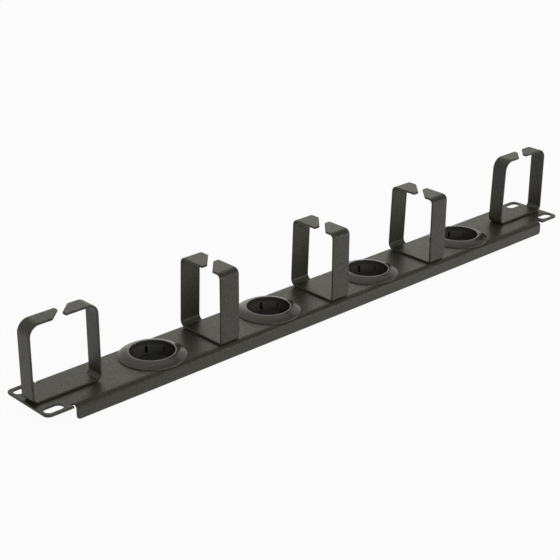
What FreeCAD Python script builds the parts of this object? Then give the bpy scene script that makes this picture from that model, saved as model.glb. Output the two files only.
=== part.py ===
import FreeCAD, Part
import math
import os

from FreeCAD import Vector

# Horizontal cable manager for a 19 inch rack, one unit high, in millimetres.
# A folded steel panel carries five bent-strip cable rings and four snap-in grommets.
# It lies on its back: X runs along the rack's width, Y up the rack, +Z out of the rack's front.
# The origin is the centre of the four-slot pattern, on the rear face of the ears.

# ---- Driving dimensions -----------------------------------------------------------------

# Panel
panel_length = 482.6         # 19 inch panel, ear tip to ear tip
panel_depth = 44.0           # one rack unit less its clearance
sheet = 1.5                  # steel thickness
flange_height = 10.0         # front face of the panel to the free edge of a flange
bend_inner = 1.0             # inside radius of the two long bends
ear_length = 21.3            # flat ear past the end of the flanges
ear_corner = 4.0             # radius of an ear's corners
relief_width = 2.0           # slot that frees the bend beside the ear
relief_depth = 3.5
flange_corner = 2.0          # radius on a flange's free corner

# Rack slots
slot_spacing_x = 465.1
slot_spacing_y = 31.75
slot_length = 13.0           # end to end
slot_width = 7.0

# All five cable rings
strip_thickness = 1.5
ring_base_bend = 3.0         # outside radius of the two bends at the panel

# Middle rings, across the panel
ring_pitch = 99.5
ring_strip_width = 15.5
ring_height = 50.0           # above the panel's front face
ring_setback = 1.3           # upright's outer face, in from the panel's long edge
ring_top_bend = 4.0          # outside radius of the two bends beside the slit

# End rings, turned a quarter to lie along the panel
end_strip_width = 12.0
end_ring_height = 51.5
end_ring_length = 50.0
end_ring_setback = 1.3       # ring's outer face, in from the ear's tip
end_ring_top_bend = 7.0

# Slanted slit where a ring's two tips pass each other
slit_gap = 3.6
slit_angle = 47.5            # from straight across the strip, in degrees
tip_blunt_share = 0.29       # square end left on each tip, as a share of the strip's width
tip_round = 0.7
slit_offset = 1.7            # slit's centre from the ring's middle, towards the shorter arm

# Grommets
hole_land = 5.0              # steel between a grommet hole and the panel's long edge
barrel_clearance = 0.3
barrel_wall = 2.1
barrel_reach = 5.5           # below the panel's rear face
head_height = 3.4            # rim above the panel's front face
head_edge = 0.6              # thickness of the skirt's outer edge
rim_width = 1.3
skirt_bulge = 0.7            # rise of the skirt's curve above a straight cone
skirt_wall = 1.4
finger_count = 8
finger_slot = 1.8
finger_root = 0.6            # solid barrel left above the finger slots, below the head
catch_reach = 1.1            # how far a catch stands past the hole's wall
catch_height = 3.2
lead_in = 0.8
grommet_shift = 1.8          # grommets sit this much nearer the panel's middle than halfway

# ---- Values that follow -----------------------------------------------------------------

half_length = panel_length / 2
half_depth = panel_depth / 2
front = sheet                # height of the panel's front face
channel_half = half_length - ear_length
bend_outer = bend_inner + sheet

ring_depth = panel_depth - 2 * ring_setback
end_ring_x = half_length - end_ring_setback - end_ring_length / 2

hole_radius = half_depth - hole_land
barrel_radius = hole_radius - barrel_clearance
bore_radius = barrel_radius - barrel_wall
head_radius = half_depth     # the skirt reaches the panel's long edges
inner_grommet_x = ring_pitch / 2 - grommet_shift
outer_ring_face = ring_pitch + ring_strip_width / 2
end_ring_face = end_ring_x - end_ring_length / 2
outer_grommet_x = (outer_ring_face + end_ring_face) / 2 - grommet_shift

through = 10 * sheet         # length of a cut that passes right through the sheet


# ---- Helpers ----------------------------------------------------------------------------

def centred_box(size_x, size_y, size_z, x=0.0, y=0.0, z=0.0):
    """Box centred on x and y, standing on z."""
    return Part.makeBox(size_x, size_y, size_z, Vector(x - size_x / 2, y - size_y / 2, z))


def prism(points, height, z):
    """Straight-sided solid on a flat outline of (x, y) points, standing on z."""
    corners = [Vector(x, y, z) for x, y in points]
    outline = Part.makePolygon(corners + corners[:1])
    return Part.Face(outline).extrude(Vector(0, 0, height))


def edges_where(shape, test):
    """Straight edges whose two ends pass the test."""
    chosen = []
    for edge in shape.Edges:
        if len(edge.Vertexes) != 2 or not isinstance(edge.Curve, Part.Line):
            continue
        start, end = [vertex.Point for vertex in edge.Vertexes]
        if test(start, end):
            chosen.append(edge)
    return chosen


def along(direction, start, end):
    """True for an edge that runs along the direction."""
    run = end - start
    return run.cross(direction).Length < 1e-6 * run.Length


def save(shape, node):
    """Write one sub-part as a single clean solid."""
    solid = shape.removeSplitter()
    if len(solid.Solids) != 1 or not solid.isValid():
        raise ValueError(node + " is not one valid solid")
    solid.Solids[0].exportStep("parts/" + node + ".step")


# ---- Panel ------------------------------------------------------------------------------

def channel():
    """Web with its two long flanges folded to the rear."""
    along_x = Vector(1, 0, 0)
    bottom = front - flange_height
    outer = centred_box(2 * channel_half, panel_depth, flange_height, z=bottom)
    top_edges = edges_where(outer, lambda a, b: along(along_x, a, b) and a.z > front - 0.01)
    outer = outer.makeFillet(bend_outer, top_edges)

    inner_depth = panel_depth - 2 * sheet
    inner = centred_box(2 * channel_half + 2, inner_depth, flange_height, z=-flange_height)
    top_edges = edges_where(inner, lambda a, b: along(along_x, a, b) and a.z > -0.01)
    inner = inner.makeFillet(bend_inner, top_edges)

    along_y = Vector(0, 1, 0)
    folded = outer.cut(inner)
    free_corners = edges_where(folded, lambda a, b: along(along_y, a, b) and a.z < bottom + 0.01
                               and abs(a.x) > channel_half - 0.01)
    return folded.makeFillet(flange_corner, free_corners)


def ear(side):
    """Flat ear past one end of the channel; side is -1 for the left and 1 for the right."""
    along_z = Vector(0, 0, 1)
    middle = side * (channel_half + ear_length / 2)
    plate = centred_box(ear_length, panel_depth, sheet, x=middle)
    tips = edges_where(plate, lambda a, b: along(along_z, a, b)
                       and abs(a.x) > half_length - 0.01)
    plate = plate.makeFillet(ear_corner, tips)
    relief_x = side * (channel_half + relief_width / 2)
    for edge_y in (-half_depth, half_depth):
        relief = centred_box(relief_width, 2 * relief_depth, through, relief_x, edge_y, -sheet)
        plate = plate.cut(relief)
    return plate


def slot(x, y):
    """Cutter for one round-ended rack slot, long in X."""
    radius = slot_width / 2
    reach = (slot_length - slot_width) / 2
    cutter = centred_box(2 * reach, slot_width, through, x, y, -sheet)
    for end_x in (x - reach, x + reach):
        cutter = cutter.fuse(Part.makeCylinder(radius, through, Vector(end_x, y, -sheet)))
    return cutter


def grommet_places():
    """Grommet centres along X, left to right."""
    return [-outer_grommet_x, -inner_grommet_x, inner_grommet_x, outer_grommet_x]


def rack_panel():
    """Folded panel with its ears, rack slots and grommet holes."""
    panel = channel().fuse([ear(-1), ear(1)])
    for x in (-slot_spacing_x / 2, slot_spacing_x / 2):
        for y in (-slot_spacing_y / 2, slot_spacing_y / 2):
            panel = panel.cut(slot(x, y))
    for x in grommet_places():
        panel = panel.cut(Part.makeCylinder(hole_radius, through, Vector(x, 0, -sheet)))
    return panel


# ---- Cable rings ------------------------------------------------------------------------

def rounded_block(width, length, height, z, top_bend, base_bend):
    """Block whose four edges along X are rounded as the ring's bends are."""
    block = centred_box(width, length, height, z=z)
    middle = z + height / 2
    along_x = Vector(1, 0, 0)
    upper = edges_where(block, lambda a, b: along(along_x, a, b) and a.z > middle)
    block = block.makeFillet(top_bend, upper)
    lower = edges_where(block, lambda a, b: along(along_x, a, b) and a.z < z + 0.01)
    return block.makeFillet(base_bend, lower)


def slit_cutter(width, top):
    """Gap between the two tips: a slanted slit with a square step at each end."""
    half = width / 2
    slope = math.tan(math.radians(slit_angle))
    lead = slit_gap / 2 / math.cos(math.radians(slit_angle))
    step_x = tip_blunt_share * width - half
    near = slope * step_x + lead
    far = slope * half + lead
    past = half + 1.0
    rear_tip = [(-past, near), (step_x, near), (half, far), (past, far)]
    front_tip = [(-x, -y) for x, y in rear_tip]
    return prism(rear_tip + front_tip, 4 * strip_thickness, top - 2 * strip_thickness)


def cable_ring(width, length, height, top_bend):
    """Strip bent into a ring that stands in the YZ plane, open at its slanted slit."""
    top = front + height
    outer = rounded_block(width, length, height, front, top_bend, ring_base_bend)
    hollow = rounded_block(2 * width, length - 2 * strip_thickness,
                           height - 2 * strip_thickness, front + strip_thickness,
                           top_bend - strip_thickness, ring_base_bend - strip_thickness)
    cutter = slit_cutter(width, top)
    cutter.translate(Vector(0, -slit_offset, 0))
    ring = outer.cut(hollow).cut(cutter)

    tip_zone = length / 2 - top_bend
    tip_edges = edges_where(ring, lambda a, b: along(Vector(0, 0, 1), a, b)
                            and abs(a.y) < tip_zone and a.z > top - 2 * strip_thickness)
    return ring.makeFillet(tip_round, tip_edges)


def middle_ring(x):
    """Ring across the panel, for cables that run along it."""
    ring = cable_ring(ring_strip_width, ring_depth, ring_height, ring_top_bend)
    ring.translate(Vector(x, 0, 0))
    return ring


def end_ring(x):
    """Ring along the panel, slit the other way, for cables that leave over its long edges."""
    ring = cable_ring(end_strip_width, end_ring_length, end_ring_height, end_ring_top_bend)
    ring = ring.mirror(Vector(0, 0, 0), Vector(1, 0, 0))
    ring.rotate(Vector(0, 0, 0), Vector(0, 0, 1), 90)
    ring.translate(Vector(x, 0, 0))
    return ring


# ---- Grommets ---------------------------------------------------------------------------

def revolve(edges):
    """Solid of revolution about Z from a closed outline in the XZ plane."""
    outline = Part.Wire(edges)
    return Part.Face(outline).revolve(Vector(0, 0, 0), Vector(0, 0, 1), 360)


def chain(points):
    """Straight edges through a list of (radius, height) points."""
    corners = [Vector(r, 0, z) for r, z in points]
    return [Part.makeLine(a, b) for a, b in zip(corners, corners[1:])]


def skirt_curve(inner, outer):
    """Arc from the rim down to the skirt's edge, bulged outwards."""
    start = Vector(inner[0], 0, inner[1])
    end = Vector(outer[0], 0, outer[1])
    run = end - start
    outwards = Vector(-run.z, 0, run.x).normalize()
    middle = (start + end) * 0.5 + outwards * skirt_bulge
    return Part.Arc(start, middle, end).toShape()


def grommet_body():
    """Head and barrel, with the head cored from below to an even wall."""
    rim_top = front + head_height
    rim_outer = bore_radius + rim_width
    edge_top = front + head_edge
    bottom = -barrel_reach
    core_inner = barrel_radius + skirt_wall
    core_outer = head_radius - skirt_wall
    core_outer_top = front + head_edge
    slope = (head_height - head_edge) / (head_radius - rim_outer)
    core_inner_top = core_outer_top + slope * (core_outer - core_inner)

    edges = chain([(bore_radius, bottom), (bore_radius, rim_top), (rim_outer, rim_top)])
    edges.append(skirt_curve((rim_outer, rim_top), (head_radius, edge_top)))
    edges += chain([(head_radius, edge_top), (head_radius, front), (core_outer, front),
                    (core_outer, core_outer_top), (core_inner, core_inner_top),
                    (core_inner, front), (barrel_radius, front),
                    (barrel_radius, bottom), (bore_radius, bottom)])
    return revolve(edges)


def catch_ring():
    """Wedge round the barrel that snaps out under the panel."""
    tip = hole_radius + catch_reach
    root = barrel_radius - barrel_wall / 2
    return revolve(chain([(root, 0), (tip, 0), (tip, -lead_in), (barrel_radius, -catch_height),
                          (root, -catch_height), (root, 0)]))


def finger_slots():
    """Radial cuts that divide the barrel into springy fingers."""
    top = front - finger_root
    depth = top + 2 * barrel_reach
    reach = 2 * hole_radius
    cuts = []
    for index in range(finger_count):
        cut = Part.makeBox(reach, finger_slot, depth,
                           Vector(0, -finger_slot / 2, top - depth))
        cut.rotate(Vector(0, 0, 0), Vector(0, 0, 1), 360 * (index + 0.5) / finger_count)
        cuts.append(cut)
    return cuts


def grommet(x):
    """Snap-in plastic grommet: low conical head, bore and slotted barrel with catches."""
    body = grommet_body().fuse(catch_ring())
    body = body.cut(finger_slots())
    body.translate(Vector(x, 0, 0))
    return body


# ---- Write the sub-parts ----------------------------------------------------------------

def main():
    os.makedirs("parts", exist_ok=True)
    save(rack_panel(), "rack_panel")
    save(end_ring(-end_ring_x), "end_ring_left")
    save(middle_ring(-ring_pitch), "ring_left")
    save(middle_ring(0.0), "ring_middle")
    save(middle_ring(ring_pitch), "ring_right")
    save(end_ring(end_ring_x), "end_ring_right")
    names = ["outer_left", "inner_left", "inner_right", "outer_right"]
    for name, x in zip(names, grommet_places()):
        save(grommet(x), "grommet_" + name)


main()
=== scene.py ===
import math
from functools import partial

import bmesh
import bpy
import numpy as np
from mathutils import Matrix, Vector


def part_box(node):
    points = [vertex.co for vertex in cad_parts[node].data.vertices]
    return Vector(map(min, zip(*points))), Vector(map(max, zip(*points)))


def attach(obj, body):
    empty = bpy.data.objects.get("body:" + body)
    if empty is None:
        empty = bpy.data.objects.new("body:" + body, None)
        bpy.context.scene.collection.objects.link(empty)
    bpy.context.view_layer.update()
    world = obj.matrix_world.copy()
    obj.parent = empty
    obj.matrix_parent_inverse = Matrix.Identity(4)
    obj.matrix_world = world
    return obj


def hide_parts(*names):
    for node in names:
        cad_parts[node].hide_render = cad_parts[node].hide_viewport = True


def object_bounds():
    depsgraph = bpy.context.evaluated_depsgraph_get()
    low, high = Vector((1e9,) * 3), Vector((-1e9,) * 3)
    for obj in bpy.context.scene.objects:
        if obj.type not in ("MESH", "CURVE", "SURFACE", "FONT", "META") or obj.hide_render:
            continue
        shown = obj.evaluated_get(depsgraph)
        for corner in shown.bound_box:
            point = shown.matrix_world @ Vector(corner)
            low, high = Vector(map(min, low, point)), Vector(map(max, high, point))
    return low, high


# Horizontal cable manager: a folded steel panel with bent-strip cable rings and snap-in
# grommets. Metres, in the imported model's frame: X along the panel, Y up the rack, +Z out of
# the rack's front.

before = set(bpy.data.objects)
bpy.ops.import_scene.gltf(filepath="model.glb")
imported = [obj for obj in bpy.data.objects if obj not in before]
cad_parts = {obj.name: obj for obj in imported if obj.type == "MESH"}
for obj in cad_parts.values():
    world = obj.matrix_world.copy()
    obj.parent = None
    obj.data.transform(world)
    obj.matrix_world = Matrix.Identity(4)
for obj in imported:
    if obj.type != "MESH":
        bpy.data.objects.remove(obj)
cad_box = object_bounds()

# ---- Camera and stage ---------------------------------------------------------------------

CAMERA_PLACE = Vector((-0.63488, -0.64158, 0.40272))
CAMERA_TURN = math.radians(42.967)     # from looking along +Y, towards +X
CAMERA_TILT = math.radians(23.546)     # below the horizon
CAMERA_ROLL = math.radians(0.185)
SENSOR_WIDTH = 36.0                    # mm
CAMERA_LENS = 91.5                     # mm
NEAREST_SEEN = 0.01

FLOOR_SIZE = 12.0
FLOOR_GAP = 0.0002                     # floor below the flanges' free edges
GLOW = 0.95                            # share of the floor's brightness that is its own
GLOW_FADE = 0.0013                     # metres over which a share of 1 would fall to nothing, into the painted shade under the part
PAINTED_SHADE_SHARE = 0.012                     # the share left under the part, seen through the bores: painted shade, which makes the floor dark there
GLOW_INSET = 0.0500                    # how far in from each end the bright floor reaches, before the painted shade under the part

LAMP_TINT = (1.0, 0.965, 0.89, 1.0)    # slightly warm studio light
AMBIENT = 0.20                         # strength of the even light from all round
BACK_GLOSS = (0.84, 0.80, 0.90)        # strengths that a gloss mirrors from beyond the part:
                                       # near the horizon, halfway up and overhead
FRONT_GLOSS = (0.20, 0.35, 0.25)       # and from the camera's side of it
LOW_TO_MIDDLE = (0.30, 0.52)           # where each turns into the next, by the upward part
MIDDLE_TO_HIGH = (0.55, 0.80)          # of a direction of length 1
BACK_TO_FRONT = (0.15, -0.25)          # and back into front, by its part along Y

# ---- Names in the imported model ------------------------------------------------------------

MIDDLE_RINGS = ["ring_left", "ring_middle", "ring_right"]
END_RINGS = ["end_ring_left", "end_ring_right"]
GROMMETS = ["grommet_outer_left", "grommet_inner_left", "grommet_inner_right",
            "grommet_outer_right"]

# ---- Sizes that the boxes don't give, in metres -------------------------------------------

SHEET_EDGE = 0.0003                    # width of the rounding on the panel's sheared edges
CHANNEL_HALF = 0.2200                  # half the length of the folded part, between the ears
PACKED_BEND = 0.0025                   # outside radius of the long bends as packed
LONG_BEND = 0.0035                     # and as shown
STRIP = 0.0015                         # thickness of the rings' strip
STRIP_EDGE = 0.0005                    # its long edges, rounded in the mill and by the coat
MIDDLE_BENDS = (0.0040, 0.0030)        # outside radii beside the slit and at the panel
MIDDLE_REAR_BENDS = (0.0040, 0.0050)   # the same on a middle ring's rear upright
END_BENDS = (0.0070, 0.0045)           # and on an end ring's right-hand upright
END_LEFT_BENDS = (0.0082, 0.0045)      # and on its left-hand one
REAR_LEAN = math.radians(2.3)          # how far a rear upright leans over the foot
SLIT_GAP = 0.0036                      # between the tips' slanted edges
SLIT_ANGLE = math.radians(47.5)        # from straight across the strip
TIP_BLUNT_SHARE = 0.29                 # square end of a tip, as a share of the strip's width
TIP_ROUND = 0.0007                     # radius of a tip's corners
SLIT_OFFSET = 0.0017                   # slit's centre from the ring's middle

WEB_REAR = 0.0                         # height of the web's rear face, the frame's zero
BORE = 0.0146                          # grommet, by radius
BARREL = 0.0167
CATCH_TIP = 0.0181
CATCH_HEIGHT = 0.0032                  # from the web down to the foot of the catch's ramp
CATCH_EDGE = 0.0008                    # and to its top, where the catch is widest
RIM_WIDTH = 0.0009
SKIRT_WALL = 0.0014
SKIRT_BULGE = 0.0004                   # rise of the skirt's curve above a straight cone
HEAD_EDGE = 0.0006                     # thickness of the skirt's outer edge
FINGERS = 8
FINGER_SLOT = 0.0018
FINGER_ROOT = 0.0006                   # solid barrel left below the head, above the slots
FINGER_END_ROUNDS = (0.0004, 0.0003)   # at a finger's lower end, inside and outside
RAMP_ROUND = 0.0003                    # where the catch's ramp leaves the barrel
CATCH_ROUND = 0.0002                   # at both ends of the catch's edge
CORE_ROUND = 0.0003                    # in the top of the hollow under the skirt
SKIRT_ROUND = 0.0002                   # on the skirt's outer edge
RIM_ROUND = 0.00025                    # on both edges of the rim

# ---- Finishes -----------------------------------------------------------------------------

SPECKLE_SPAN = (0.36, 0.64)            # over which the coat's speckle turns from dark to pale
GRAIN_SHARE = 0.9                      # fine grain's share of the speckle, beside the mottle
COAT_TONES = ((0.0250, 0.0231, 0.0183, 1), (0.0630, 0.0585, 0.0460, 1))
COAT_ROUGHNESS = (0.48, 0.34)
PAINTED_BORE_LIGHT_SPAN = (0.0008, 0.0030)    # heights over which painted light makes the plastic paler downwards, into the bore
# the plastic's tone with painted light for the bore, then its own tone above
PAINTED_BORE_LIGHT_AND_PLASTIC_TONES = ((0.100, 0.096, 0.086, 1), (0.042, 0.0403, 0.0358, 1))
PLASTIC_ROUGHNESS = (0.20, 0.30)

# ---- Fineness of the surfaces -------------------------------------------------------------

HAIR = 0.0002                          # row beside a bend, which keeps its shading off flats
JOIN = 1e-6                            # points nearer than this are one
SECTION_STATIONS = 41                  # across each flat of the strip, with its two ends
EDGE_STEPS = 4                         # round each corner of the strip's section
BEND_STEPS = 12                        # round each bend of the strip
DISC_PLACES = 600                      # of the disc that rounds a tip's outline
CORNER_STEPS = 5                       # points on each rounded corner of a grommet
SKIRT_STEPS = 10                       # up the skirt
FINGER_STEPS = 14                      # round each finger
SHEET_EDGE_STEPS = 3                   # round the panel's sheared edges
SHARP = math.radians(35)               # faces that meet at more than this keep a sharp edge
FLAT = math.radians(0.5)               # and at less than this, they are one flat


# ---- Surfaces -----------------------------------------------------------------------------

def grid_faces(rows, columns, loop):
    """Quads between neighbours on a grid whose columns close on themselves.

    Point (i, j) has index i * columns + j. With loop, the last row also joins the first.
    """
    row, column = np.meshgrid(np.arange(rows if loop else rows - 1), np.arange(columns),
                              indexing="ij")
    here, below = row * columns, (row + 1) % rows * columns
    following = (column + 1) % columns
    return np.stack([here + column, here + following, below + following, below + column],
                    axis=-1)


def closed_piece(name, points, faces):
    """Piece from points and faces, joined where points coincide, with its faces outwards."""
    mesh = bpy.data.meshes.new(name)
    mesh.from_pydata(points.reshape(-1, 3), [], faces)
    shell = bmesh.new()
    shell.from_mesh(mesh)
    bmesh.ops.remove_doubles(shell, verts=shell.verts, dist=JOIN)
    bmesh.ops.recalc_face_normals(shell, faces=shell.faces)
    shell.to_mesh(mesh)
    shell.free()
    mesh.shade_smooth()
    mesh.set_sharp_from_angle(angle=SHARP)
    piece = bpy.data.objects.new(name, mesh)
    bpy.context.scene.collection.objects.link(piece)
    return piece


def stand_in(piece, node, material):
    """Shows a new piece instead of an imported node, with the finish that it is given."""
    piece.data.materials.append(material)
    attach(piece, "root")
    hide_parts(node)


# ---- Panel --------------------------------------------------------------------------------

def folded_sheet(node):
    """Panel as packed, with its two long bends opened out to a larger radius.

    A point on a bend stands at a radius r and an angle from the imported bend's centre, and
    moves to the same angle at r + wider on a centre that lies wider further in and down,
    where wider is the difference between the two radii. All other points stay.
    """
    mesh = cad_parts[node].data
    place = np.empty(3 * len(mesh.vertices), np.float32)
    mesh.vertices.foreach_get("co", place)
    points = place.reshape(-1, 3).astype(float)
    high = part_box(node)[1]
    wider = LONG_BEND - PACKED_BEND
    across = np.abs(points[:, 1]) - (high.y - PACKED_BEND)
    up = points[:, 2] - (high.z - PACKED_BEND)
    on_bend = ((across > -JOIN) & (up > -JOIN)
               & (np.abs(points[:, 0]) < CHANNEL_HALF + JOIN))
    share = wider / np.hypot(across, up)[on_bend]
    points[on_bend, 1] += np.sign(points[on_bend, 1]) * (share * across[on_bend] - wider)
    points[on_bend, 2] += share * up[on_bend] - wider
    faces = [list(face.vertices) for face in mesh.polygons]
    return closed_piece(node + "_sheet", points, faces)


def finish_panel(piece):
    """Joins the panel's flats, rounds its sheared edges a little and shades flats as flat."""
    flats = piece.modifiers.new("whole_flats", "DECIMATE")
    flats.decimate_type = "DISSOLVE"
    flats.angle_limit = FLAT
    edges = piece.modifiers.new("sheared_edges", "BEVEL")
    edges.limit_method = "ANGLE"
    edges.angle_limit = SHARP
    edges.width = SHEET_EDGE
    edges.segments = SHEET_EDGE_STEPS
    edges.use_clamp_overlap = False
    shading = piece.modifiers.new("even_shading", "WEIGHTED_NORMAL")
    shading.keep_sharp = True


# ---- Cable rings --------------------------------------------------------------------------

def strip_section(width):
    """Outline of the strip as (across, out) points: a rectangle with rounded corners.

    The flat faces carry points at flat * sin(t), which crowd towards the edges. Each corner
    is a quarter circle of the edge's radius.
    """
    flat = width / 2 - STRIP_EDGE
    wall = STRIP / 2 - STRIP_EDGE
    across = flat * np.sin(np.linspace(-np.pi / 2, np.pi / 2, SECTION_STATIONS)[1:-1])
    turn = np.linspace(np.pi / 2, 0, EDGE_STEPS + 1)
    corner_across = flat + STRIP_EDGE * np.cos(turn)
    corner_out = wall + STRIP_EDGE * np.sin(turn)
    face_across = np.concatenate([-corner_across[::-1], across, corner_across])
    face_out = np.concatenate([corner_out[::-1], np.full(len(across), STRIP / 2),
                               corner_out])
    return (np.concatenate([face_across, face_across[::-1]]),
            np.concatenate([face_out, -face_out[::-1]]))


def tip_line(across, width):
    """How far beyond the slit's centre the rear tip starts, at each place across the strip.

    The tip's outline is a square end and a slanted line. Both are moved in by the corner
    radius, and a disc of that radius rolls along them: the tip starts at the least of
    line(c) - sqrt(radius^2 - (across - c)^2) over the disc's centres c.
    """
    slope = math.tan(SLIT_ANGLE)
    lead = SLIT_GAP / 2 / math.cos(SLIT_ANGLE)
    step = (TIP_BLUNT_SHARE - 0.5) * width
    centre = np.linspace(TIP_ROUND - width / 2, width / 2 - TIP_ROUND, DISC_PLACES)
    slant = slope * (centre - step) + TIP_ROUND / math.cos(SLIT_ANGLE)
    line = slope * step + lead + np.maximum(TIP_ROUND, slant)
    reach = TIP_ROUND ** 2 - (across[:, None] - centre) ** 2
    touching = reach > -JOIN ** 2
    return np.where(touching, line - np.sqrt(np.abs(reach)), np.inf).min(axis=1)


def half_path(length, height, bends, lean):
    """Middle line of half a ring, from the straight beside the slit to the foot's middle.

    Straight, an arc, the upright, an arc and the foot, as (along, up) and the angle of the
    outward direction. The arcs are centre + radius * (cos, sin) of that angle, from 90
    degrees down to the lean and on to -90. The upright leans over the foot, so it joins arc
    centres that are upright * sin(lean) apart along the ring. Rows lie close on both sides
    of each arc.
    """
    top_bend, base_bend = bends
    top_radius, base_radius = top_bend - STRIP / 2, base_bend - STRIP / 2
    top_up = height - top_bend
    upright = top_up - base_bend + (top_radius - base_radius) * math.sin(lean)
    upright /= math.cos(lean)
    base_along = length / 2 - base_bend
    top_along = (base_along + (base_radius - top_radius) * math.cos(lean)
                 - upright * math.sin(lean))
    top_turn = np.linspace(np.pi / 2, lean, BEND_STEPS + 1)
    base_turn = np.linspace(lean, -np.pi / 2, BEND_STEPS + 1)
    top = np.stack([top_along + top_radius * np.cos(top_turn),
                    top_up + top_radius * np.sin(top_turn)], axis=-1)
    base = np.stack([base_along + base_radius * np.cos(base_turn),
                     base_bend + base_radius * np.sin(base_turn)], axis=-1)
    down = HAIR * np.array([math.sin(lean), -math.cos(lean)])
    foot = [(base_along - HAIR, STRIP / 2), (0, STRIP / 2)]
    path = np.concatenate([top, [top[-1] + down, base[0] - down], base, foot])
    facing = np.concatenate([top_turn, [lean, lean], base_turn, [-np.pi / 2, -np.pi / 2]])
    return path[:, :1], path[:, 1:], facing[:, None]


def arm(side, width, length, height, bends, lean):
    """Half a ring, from tip to foot, on the side of +1 or -1: the section on its path.

    A row is the path's point plus out * (cos, sin) of the outward angle. On the tip, rows
    share the straight run between the bend and the tip's slanted line. The end's edge is
    rolled over: out is held within wall + edge * sin(t), and the row moves on by
    edge - sqrt(edge^2 - over^2). The last row lies on the strip's middle plane.
    """
    across, out = strip_section(width)
    along, up, facing = half_path(length, height, bends, lean)
    body = np.stack(np.broadcast_arrays(across, along + np.cos(facing) * out,
                                        up + np.sin(facing) * out), axis=-1)

    line = tip_line(side * across, width) - side * SLIT_OFFSET
    wall = STRIP / 2 - STRIP_EDGE
    limit = wall + STRIP_EDGE * np.sin(np.linspace(0, np.pi / 2, EDGE_STEPS + 1))[:, None]
    end_out = np.clip(out, -limit, limit)
    over = np.maximum(np.abs(end_out) - wall, 0)
    end_along = line + STRIP_EDGE - np.sqrt(STRIP_EDGE ** 2 - over ** 2)
    straight = along[0] - end_along[-1]
    run_along = np.stack([end_along[-1] + HAIR, end_along[-1] + straight / 2,
                          along[0] - HAIR + 0 * across])
    tip_along = np.concatenate([line[None], end_along, run_along])
    tip_out = np.concatenate([0 * out[None], end_out, np.broadcast_to(out, run_along.shape)])
    tip = np.stack(np.broadcast_arrays(across, tip_along, height - STRIP / 2 + tip_out),
                   axis=-1)
    return np.concatenate([tip, body]) * (1, side, 1)


def bent_ring(node, turned, rear_bends, front_bends, rear_lean):
    """Strip bent into a ring and open at its slit: two arms that meet at the foot's middle.

    An end ring is turned a quarter, which makes its rear arm the left one, and its slit is
    slanted the other way.
    """
    low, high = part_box(node)
    size, centre = high - low, (low + high) / 2
    width, length = (size.y, size.x) if turned else (size.x, size.y)
    rear = arm(1, width, length, size.z, rear_bends, rear_lean)
    front = arm(-1, width, length, size.z, front_bends, 0.0)
    points = np.concatenate([rear, front[-2::-1]])
    if turned:
        points = points[..., [1, 0, 2]] * (-1, -1, 1)
    points = points + (centre.x, centre.y, low.z)
    quads = grid_faces(*points.shape[:2], loop=False)
    return closed_piece(node + "_strip", points, quads.reshape(-1, 4).tolist())


# ---- Grommets -----------------------------------------------------------------------------

def rounded_loop(corners):
    """Closed outline through (radius, height, rounding) corners, with each one rounded.

    Unit vectors a and b run back and on along the two edges. With m their bisector and h
    half the angle between them, the arc's centre is corner + m * r / sin(h), and its points
    are centre - r * m, turned by t from -(90 deg - h) to 90 deg - h.
    """
    place, rounding = corners[:, :2], corners[:, 2:]
    back = np.roll(place, 1, axis=0) - place
    on = np.roll(place, -1, axis=0) - place
    back /= np.linalg.norm(back, axis=1, keepdims=True)
    on /= np.linalg.norm(on, axis=1, keepdims=True)
    middle = back + on
    middle /= np.maximum(np.linalg.norm(middle, axis=1, keepdims=True), JOIN)
    half = np.arccos(np.clip((back * on).sum(axis=1), -1, 1))[:, None] / 2
    centre = place + middle * rounding / np.sin(half)
    way = np.sign(back[:, 1] * on[:, 0] - back[:, 0] * on[:, 1])[:, None]
    turn = way * (np.pi / 2 - half) * np.linspace(-1, 1, CORNER_STEPS)
    turned = np.stack([middle[:, :1] * np.cos(turn) - middle[:, 1:] * np.sin(turn),
                       middle[:, :1] * np.sin(turn) + middle[:, 1:] * np.cos(turn)], axis=-1)
    return (centre[:, None] - rounding[:, None] * turned).reshape(-1, 2)


def grommet_profile(bottom, rear, front, top, head):
    """Section of the grommet through one finger, as rounded corners, and how many of them
    lie on the finger: down the bore, up the catch, under the cored head and over its skirt.

    The skirt is start + f * (end - start), raised by 4 * f * (1 - f) of its bulge.
    """
    slot_top = front - FINGER_ROOT
    rim = BORE + RIM_WIDTH
    edge_top = front + HEAD_EDGE
    core_in, core_out = BARREL + SKIRT_WALL, head - SKIRT_WALL
    slope = (top - edge_top) / (head - rim)
    end_inside, end_outside = FINGER_END_ROUNDS
    finger = [(BORE, slot_top, 0), (BORE, bottom, end_inside), (BARREL, bottom, end_outside),
              (BARREL, rear - CATCH_HEIGHT, RAMP_ROUND),
              (CATCH_TIP, rear - CATCH_EDGE, CATCH_ROUND), (CATCH_TIP, rear, CATCH_ROUND),
              (BARREL, rear, 0), (BARREL, slot_top, 0)]
    under = [(BARREL, front, 0), (core_in, front, 0),
             (core_in, edge_top + slope * (core_out - core_in), CORE_ROUND),
             (core_out, edge_top, 0), (core_out, front, 0), (head, front, 0)]
    share = np.linspace(0, 1, SKIRT_STEPS + 1)[:, None]
    outer, inner = np.array([head, edge_top]), np.array([rim, top])
    proud = np.array([top - edge_top, head - rim]) / math.hypot(top - edge_top, head - rim)
    skirt = outer + share * (inner - outer) + 4 * share * (1 - share) * SKIRT_BULGE * proud
    rounding = np.zeros_like(share)
    rounding[0], rounding[-1] = SKIRT_ROUND, RIM_ROUND
    over = np.hstack([skirt, rounding])
    corners = np.vstack([finger, under, over, [(BORE, top, RIM_ROUND)]])
    return corners, len(finger)


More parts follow.
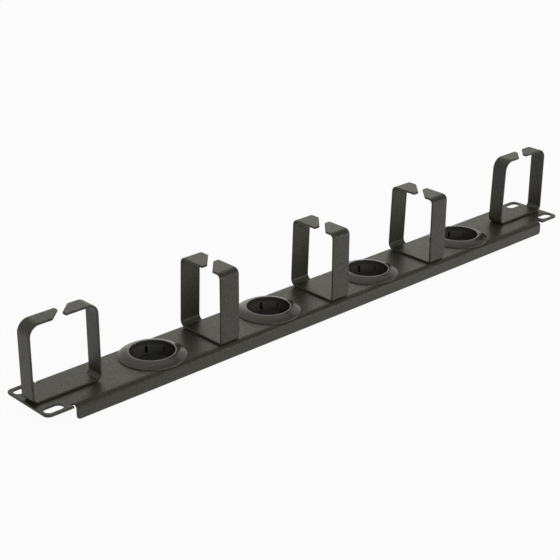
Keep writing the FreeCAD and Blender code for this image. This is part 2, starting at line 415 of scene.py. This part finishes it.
def snap_in_grommet(node):
    """Grommet: its section turned about Z, with straight-sided slots between its fingers.

    A slot's two sides stay parallel, so at radius r they lie at asin(half slot / r) from the
    slot's middle, and a finger's columns share the angle between one slot and the next.
    """
    low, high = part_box(node)
    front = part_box("rack_panel")[1].z
    centre = (low + high) / 2
    corners, finger_corners = grommet_profile(low.z, WEB_REAR, front, high.z,
                                              (high.x - low.x) / 2)
    profile = rounded_loop(corners)
    radius, height = profile[:, 0], profile[:, 1]

    pitch = 2 * np.pi / FINGERS
    slot_half = np.arcsin(FINGER_SLOT / 2 / radius)[:, None, None]
    middle = (np.arange(FINGERS)[:, None] + 0.5) * pitch
    across_slot = np.concatenate([[-1, 0], np.ones(FINGER_STEPS)])
    along_finger = np.concatenate([[0, 0], np.arange(FINGER_STEPS) / FINGER_STEPS])
    angle = middle + slot_half * across_slot + (pitch - 2 * slot_half) * along_finger
    angle = angle.reshape(len(radius), -1)
    points = np.stack(np.broadcast_arrays(centre.x + radius[:, None] * np.cos(angle),
                                          centre.y + radius[:, None] * np.sin(angle),
                                          height[:, None]), axis=-1)

    rows, columns = angle.shape
    quads = grid_faces(rows, columns, loop=True)
    first, last = CORNER_STEPS - 1, (finger_corners - 1) * CORNER_STEPS
    per_finger = len(across_slot)
    column = np.arange(columns)
    in_slot = column % per_finger < 2
    kept = np.ones((rows, columns), bool)
    kept[first:last, in_slot] = False
    faces = quads[kept].tolist()

    # A slot is closed by a roof below the head, from bore to barrel, and by its two sides.
    following = (column + 1) % columns
    roof = np.stack([first * columns + column, first * columns + following,
                     last * columns + following, last * columns + column], axis=-1)
    faces += roof[in_slot].tolist()
    finger_rows = np.arange(first, last + 1)
    slot_sides = np.concatenate([column[column % per_finger == 0],
                                 column[column % per_finger == 2]])
    faces += (slot_sides[:, None] + finger_rows * columns).tolist()
    return closed_piece(node + "_moulding", points, faces)


# ---- Materials ----------------------------------------------------------------------------

def feed(node, inputs):
    """Sets a node's inputs, by name or number, each to a value or to another node's output.
    A node stands for its first output.
    """
    for key, value in inputs.items():
        if isinstance(value, bpy.types.Node):
            value = value.outputs[0]
        if isinstance(value, bpy.types.NodeSocket):
            node.id_data.links.new(value, node.inputs[key])
        else:
            node.inputs[key].default_value = value


def add_node(tree, kind, inputs=None, **settings):
    """New shader node in a tree, with its settings and inputs."""
    node = tree.nodes.new("ShaderNode" + kind)
    for key, value in settings.items():
        setattr(node, key, value)
    feed(node, inputs or {})
    return node


def tone_range(add, amount, tones, span=(0, 1)):
    """Tone that runs from the first to the second as an amount crosses the span."""
    node = add("ValToRGB", {"Fac": amount})
    for element, place, tone in zip(node.color_ramp.elements, span, tones):
        element.position, element.color = place, tone
    return node


def new_material(name):
    """Material with its Principled BSDF, and a function that adds nodes to it."""
    material = bpy.data.materials.new(name)
    material.use_nodes = True
    tree = material.node_tree
    return material, tree.nodes["Principled BSDF"], partial(add_node, tree)


def powder_coat():
    """Satin black powder coat: a fine pebbled skin, a little uneven in tone and gloss."""
    material, shader, add = new_material("powder_coat")
    place = add("TexCoord").outputs["Object"]
    mottle = add("TexNoise", {"Vector": place, "Scale": 60.0, "Detail": 2.0})
    grain = add("TexNoise", {"Vector": place, "Scale": 950.0, "Detail": 2.0, "Roughness": 0.6})
    # Inputs 2 and 3 are the two numbers that it mixes.
    speckle = add("Mix", {"Factor": GRAIN_SHARE, 2: mottle, 3: grain})
    skin = add("Bump", {"Height": grain, "Strength": 0.4, "Distance": 0.0003})
    gloss = add("MapRange", {"Value": speckle,
                             "From Min": SPECKLE_SPAN[0], "From Max": SPECKLE_SPAN[1],
                             "To Min": COAT_ROUGHNESS[0], "To Max": COAT_ROUGHNESS[1]})
    tone = tone_range(add, speckle, COAT_TONES, SPECKLE_SPAN)
    feed(shader, {"Base Color": tone, "Specular IOR Level": 0.38, "Roughness": gloss,
                  "Normal": skin})
    return material


def grommet_plastic():
    """Moulded black plastic: smooth, with a faint softness in its gloss. Down the barrel it is
    a little paler: painted light, standing in for light that reaches into the bore.
    """
    material, shader, add = new_material("grommet_plastic")
    place = add("TexCoord").outputs["Object"]
    height = add("SeparateXYZ", {0: place}).outputs["Z"]
    # painted light: below the head the plastic turns paler, as if more light reached down the
    # bore
    painted_bore_light_fade = add("MapRange", {"Value": height, "From Min": PAINTED_BORE_LIGHT_SPAN[0],
                            "From Max": PAINTED_BORE_LIGHT_SPAN[1]})
    film = add("TexNoise", {"Vector": place, "Scale": 60.0, "Detail": 4.0})
    grain = add("TexNoise", {"Vector": place, "Scale": 900.0, "Detail": 2.0})
    skin = add("Bump", {"Height": grain, "Strength": 0.35, "Distance": 0.00015})
    gloss = add("MapRange", {"Value": film, "To Min": PLASTIC_ROUGHNESS[0],
                             "To Max": PLASTIC_ROUGHNESS[1]})
    feed(shader, {"Base Color": tone_range(add, painted_bore_light_fade, PAINTED_BORE_LIGHT_AND_PLASTIC_TONES), "Roughness": gloss,
                  "Normal": skin})
    return material


# ---- Stage --------------------------------------------------------------------------------

def white_floor():
    """Pale floor: mostly self-lit to the camera and to reflections, so that it stays near
    white round the soft shadow, with painted shade under the part, where the bores look down
    on it: there its glow and its grey are both made dark.

    Outside an outline as deep as the part and shorter by GLOW_INSET at each end, the share of
    glow is GLOW. Inside, it falls by 1 / GLOW_FADE for each metre from the outline, by the
    greater of |x| - half length and |y| - half depth, down to PAINTED_SHADE_SHARE. The same
    share is the grey of the floor's plain part.
    """
    material = bpy.data.materials.new("white_floor")
    material.use_nodes = True
    tree = material.node_tree
    tree.nodes.clear()
    add = partial(add_node, tree)

    def maths(operation, *values):
        return add("Math", dict(enumerate(values)), operation=operation)

    place = add("SeparateXYZ", {0: add("TexCoord").outputs["Object"]}).outputs
    beyond_x = maths("SUBTRACT", maths("ABSOLUTE", place["X"]), cad_box[1].x - GLOW_INSET)
    beyond_y = maths("SUBTRACT", maths("ABSOLUTE", place["Y"]), cad_box[1].y)
    # Painted shade: inside the outline the share falls to its least, which darkens both the
    # floor's glow and its grey under the part.
    share = maths("DIVIDE", maths("MAXIMUM", beyond_x, beyond_y), GLOW_FADE)
    share = maths("MAXIMUM", maths("ADD", share, GLOW), PAINTED_SHADE_SHARE)
    share = maths("MINIMUM", share, GLOW)

    rays = add("LightPath").outputs
    seen = maths("MAXIMUM", rays["Is Camera Ray"], rays["Is Glossy Ray"])
    seen = maths("MAXIMUM", seen, rays["Is Transmission Ray"])
    surface = add("MixShader", {"Fac": maths("MULTIPLY", seen, share),
                                1: add("BsdfDiffuse", {"Color": share}),
                                2: add("Emission")})
    add("OutputMaterial", {"Surface": surface})
    return material


def floor():
    """Flat floor under the part."""
    height = cad_box[0].z - FLOOR_GAP
    half = FLOOR_SIZE / 2
    corners = [(-half, -half, height), (half, -half, height), (half, half, height),
               (-half, half, height)]
    mesh = bpy.data.meshes.new("floor")
    mesh.from_pydata(corners, [], [(0, 1, 2, 3)])
    mesh.materials.append(white_floor())
    piece = bpy.data.objects.new("floor", mesh)
    bpy.context.scene.collection.objects.link(piece)


def surroundings():
    """Studio all round: white to the camera, bright beyond the part and dim on the camera's
    side of it to reflections, and a low even light on everything else.
    """
    world = bpy.data.worlds.new("studio")
    bpy.context.scene.world = world
    world.use_nodes = True
    tree = world.node_tree
    tree.nodes.clear()
    add = partial(add_node, tree)
    way = add("SeparateXYZ", {0: add("TexCoord").outputs["Generated"]}).outputs
    rays = add("LightPath").outputs

    def blend(amount, span, first, last):
        return add("MapRange", {"Value": amount, "From Min": span[0], "From Max": span[1],
                                "To Min": first, "To Max": last},
                   interpolation_type="SMOOTHSTEP")

    def rising(low, middle, high):
        lower = blend(way["Z"], LOW_TO_MIDDLE, low, middle)
        return blend(way["Z"], MIDDLE_TO_HIGH, lower, high)

    def background(strength, colour=LAMP_TINT):
        return add("Background", {"Color": colour, "Strength": strength})

    def choose(ray, otherwise, seen):
        return add("MixShader", {"Fac": rays[ray], 1: otherwise, 2: seen})

    mirrored = blend(way["Y"], BACK_TO_FRONT, rising(*BACK_GLOSS), rising(*FRONT_GLOSS))
    studio = background(mirrored)
    lit = choose("Is Glossy Ray", background(AMBIENT), studio)
    lit = choose("Is Transmission Ray", lit, studio)
    white = background(1.0, (1, 1, 1, 1))
    add("OutputWorld", {"Surface": choose("Is Camera Ray", lit, white)})


def lamp(name, place, size, power, aim=(0, 0, 0)):
    """Soft square lamp aimed at a point."""
    light = bpy.data.lights.new(name, "AREA")
    light.shape = "SQUARE"
    light.size = size
    light.energy = power
    light.color = LAMP_TINT[:3]
    piece = bpy.data.objects.new(name, light)
    piece.location = place
    piece.visible_camera = False
    piece.rotation_euler = (Vector(aim) - Vector(place)).to_track_quat("-Z", "Y").to_euler()
    bpy.context.scene.collection.objects.link(piece)


def camera():
    """Camera at the viewing angle, with no depth of field and no shift."""
    data = bpy.data.cameras.new("camera")
    data.sensor_width = SENSOR_WIDTH
    data.lens = CAMERA_LENS
    data.clip_start = NEAREST_SEEN
    piece = bpy.data.objects.new("camera", data)
    turn = Matrix.Rotation(-CAMERA_TURN, 4, "Z")
    tilt = Matrix.Rotation(math.pi / 2 - CAMERA_TILT, 4, "X")
    roll = Matrix.Rotation(CAMERA_ROLL, 4, "Z")
    piece.matrix_world = Matrix.Translation(CAMERA_PLACE) @ turn @ tilt @ roll
    bpy.context.scene.collection.objects.link(piece)
    bpy.context.scene.camera = piece


# ---- Build --------------------------------------------------------------------------------

coat = powder_coat()
plastic = grommet_plastic()
panel = folded_sheet("rack_panel")
stand_in(panel, "rack_panel", coat)
finish_panel(panel)
for node in MIDDLE_RINGS:
    ring = bent_ring(node, False, MIDDLE_REAR_BENDS, MIDDLE_BENDS, REAR_LEAN)
    stand_in(ring, node, coat)
for node, lean in zip(END_RINGS, (0.0, REAR_LEAN)):     # the first stands straight
    ring = bent_ring(node, True, END_LEFT_BENDS, END_BENDS, lean)
    stand_in(ring, node, coat)
for node in GROMMETS:
    stand_in(snap_in_grommet(node), node, plastic)

floor()
surroundings()
lamp("back_lamp", place=(1.2, 1.5, 0.7), size=1.2, power=2.9)
lamp("key_lamp", place=(0.1, 0.4, 1.6), size=1.2, power=0.5)
lamp("fill_lamp", place=(-0.25, -0.75, 0.28), size=0.4, power=2.1, aim=(0.2, 0, 0))
lamp("low_lamp", place=(0.45, -0.6, 0.06), size=0.15, power=0.8, aim=(0.25, 0, 0))
camera()
bpy.context.scene.view_settings.view_transform = "Standard"
